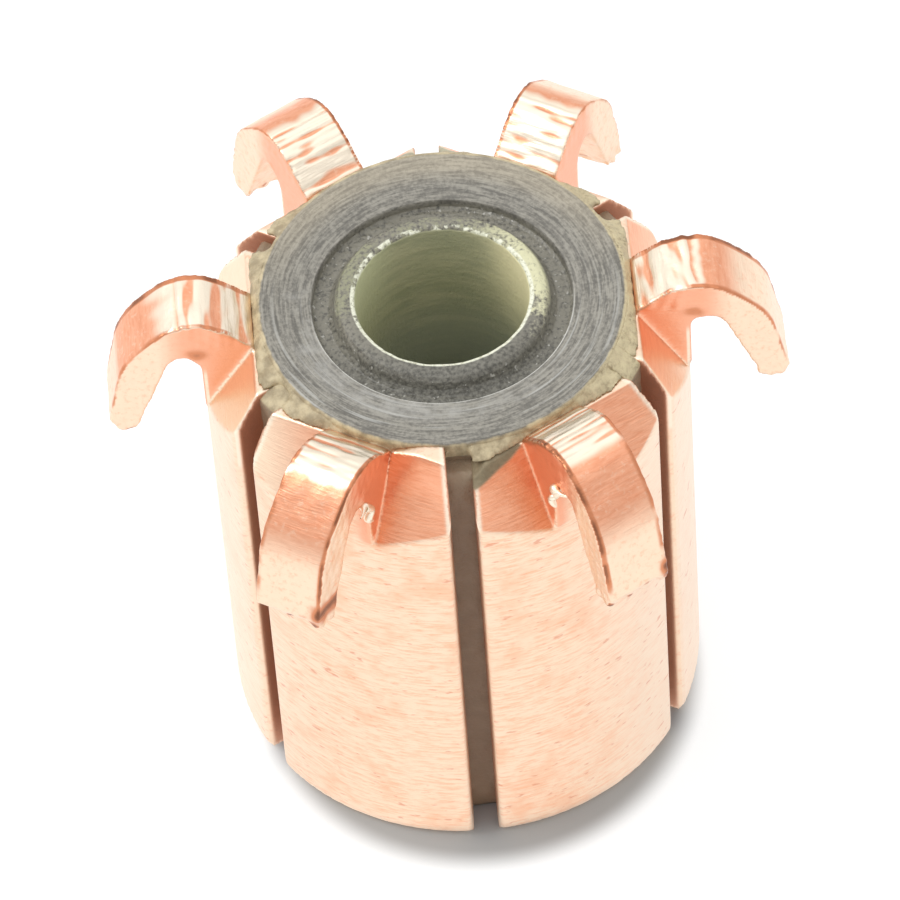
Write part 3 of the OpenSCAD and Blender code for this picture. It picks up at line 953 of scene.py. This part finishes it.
def studio_world():
    """Bright tent overhead and behind, dimmer low down in front, plain white behind the object."""
    world = bpy.data.worlds.new("studio")
    bpy.context.scene.world = world
    world.use_nodes = True
    tree = world.node_tree
    tree.nodes.clear()

    def ramp(value, low, high, start, end):
        """Smooth way from start to end, where start is a number or a socket."""
        node = tree.nodes.new("ShaderNodeMapRange")
        node.interpolation_type = "SMOOTHSTEP"
        tree.links.new(value, node.inputs["Value"])
        for key, number in (("From Min", low), ("From Max", high), ("To Max", end)):
            node.inputs[key].default_value = number
        if isinstance(start, bpy.types.NodeSocket):
            tree.links.new(start, node.inputs["To Min"])
        else:
            node.inputs["To Min"].default_value = start
        return node.outputs["Result"]

    place = tree.nodes.new("ShaderNodeTexCoord")
    split = tree.nodes.new("ShaderNodeSeparateXYZ")
    tree.links.new(place.outputs["Generated"], split.inputs[0])
    low_down = ramp(split.outputs["Y"], -0.2, 0.6, TENT_FRONT, TENT_BACK)
    tent = tree.nodes.new("ShaderNodeBackground")
    tree.links.new(ramp(split.outputs["Z"], 0.55, 0.8, low_down, TENT_TOP), tent.inputs["Strength"])
    plain = tree.nodes.new("ShaderNodeBackground")
    plain.inputs["Strength"].default_value = 1.0
    path = tree.nodes.new("ShaderNodeLightPath")
    pick = tree.nodes.new("ShaderNodeMixShader")
    tree.links.new(path.outputs["Is Camera Ray"], pick.inputs[0])
    tree.links.new(tent.outputs[0], pick.inputs[1])
    tree.links.new(plain.outputs[0], pick.inputs[2])
    out = tree.nodes.new("ShaderNodeOutputWorld")
    tree.links.new(pick.outputs[0], out.inputs["Surface"])


def key_light():
    """Square lamp that looks at the middle of the object."""
    data = bpy.data.lights.new("key", "AREA")
    data.size = KEY_SIZE * MM
    data.energy = KEY_POWER
    lamp = bpy.data.objects.new("key", data)
    bpy.context.scene.collection.objects.link(lamp)
    lamp.location = KEY_PLACE * MM
    lamp.rotation_mode = "QUATERNION"
    lamp.rotation_quaternion = (Vector((0, 0, FACE_Z / 2)) * MM - lamp.location).to_track_quat("-Z", "Y")


def photo_camera():
    data = bpy.data.cameras.new("camera")
    data.lens = CAM_LENS
    data.sensor_width = CAM_SENSOR
    data.clip_start = 1 * MM
    data.clip_end = 5000 * MM
    camera = bpy.data.objects.new("camera", data)
    bpy.context.scene.collection.objects.link(camera)
    flat = math.cos(CAM_ELEVATION)
    back = Vector((math.sin(CAM_AZIMUTH) * flat, -math.cos(CAM_AZIMUTH) * flat, math.sin(CAM_ELEVATION)))
    level = Vector((math.cos(CAM_AZIMUTH), math.sin(CAM_AZIMUTH), 0))
    upright = back.cross(level)
    right = level * math.cos(CAM_ROLL) + upright * math.sin(CAM_ROLL)
    up = upright * math.cos(CAM_ROLL) - level * math.sin(CAM_ROLL)
    turn = Matrix((right, up, back)).transposed()
    camera.matrix_world = Matrix.Translation((CAM_TARGET + back * CAM_DISTANCE) * MM) @ turn.to_4x4()
    bpy.context.scene.camera = camera


copper = copper_material()
resin = resin_material()
for bar in range(1, BARS + 1):
    copper_bar(bar, copper)
throat_burr(5, 1, copper)
throat_burr(6, -1, copper)
turned_face(resin)
resin_hub(resin)
for bar in range(1, BARS + 1):
    slot_rib(bar, resin)
studio_floor()
studio_world()
key_light()
photo_camera()
bpy.context.scene.view_settings.view_transform = "Standard"
